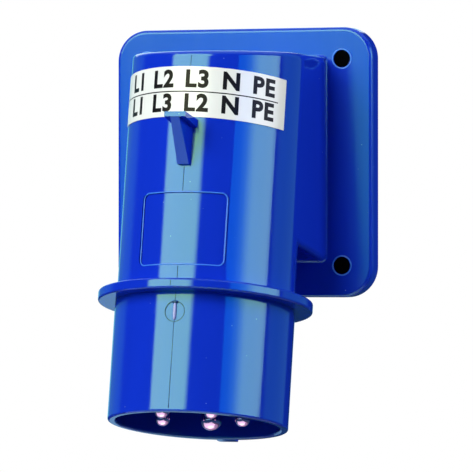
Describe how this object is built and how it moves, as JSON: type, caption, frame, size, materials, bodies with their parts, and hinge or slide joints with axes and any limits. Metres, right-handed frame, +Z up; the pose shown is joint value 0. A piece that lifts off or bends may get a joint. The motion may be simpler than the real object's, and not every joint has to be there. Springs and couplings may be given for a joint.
{
  "type": "appliance inlet",
  "caption": "Angled panel-mount power inlet with a round plug collar, a flange, a square plate, round contact pins and a turning disc that swaps two phases.",
  "frame": {"origin": "centre of the four panel holes on the plate's mounting face", "axes": "+Y out of the mounting face towards the panel, -Y towards the plug side, +Z up, away from the plug's mouth, +X to the right seen from the front"},
  "size_m": [0.087, 0.0799, 0.1333],
  "materials": {
    "housing_blue": "glossy moulded polyamide",
    "label_film": "satin printed film",
    "seal_rubber": "closed-cell sheet",
    "insulator_black": "matt moulded",
    "insulator_grey": "matt moulded",
    "disc_grey": "satin moulded",
    "contact_nickel": "nickel-plated, polished",
    "terminal_brass": "turned",
    "spring_bronze": "rolled strip",
    "spring_steel": "rolled strip",
    "screw_steel": "zinc-plated"
  },
  "bodies": {
    "inlet": {"housing": "housing_blue", "label": "label_film", "panel_seal": "seal_rubber", "contact_carrier": "insulator_black", "terminal_carrier": "insulator_grey", "spring_washer": "spring_steel", "earth_pin": "contact_nickel", "neutral_pin": "contact_nickel", "phase_pin_1": "contact_nickel", "phase_terminal_2": "terminal_brass", "phase_terminal_3": "terminal_brass", "contact_spring_2": "spring_bronze", "contact_spring_3": "spring_bronze", "terminal_screws": "screw_steel", "carrier_screws": "screw_steel", "joint_screws": "screw_steel"},
    "inverter": {"inverter_disc": "disc_grey", "phase_pin_2": "contact_nickel", "phase_pin_3": "contact_nickel"}
  },
  "joints": [
    {"name": "phase_swap", "type": "hinge", "parent": "inlet", "child": "inverter", "pos_m": [0, -0.05592, -0.04454], "axis": [0, 0.1908, 0.9816], "range_deg": [0, 180]}
  ]
}
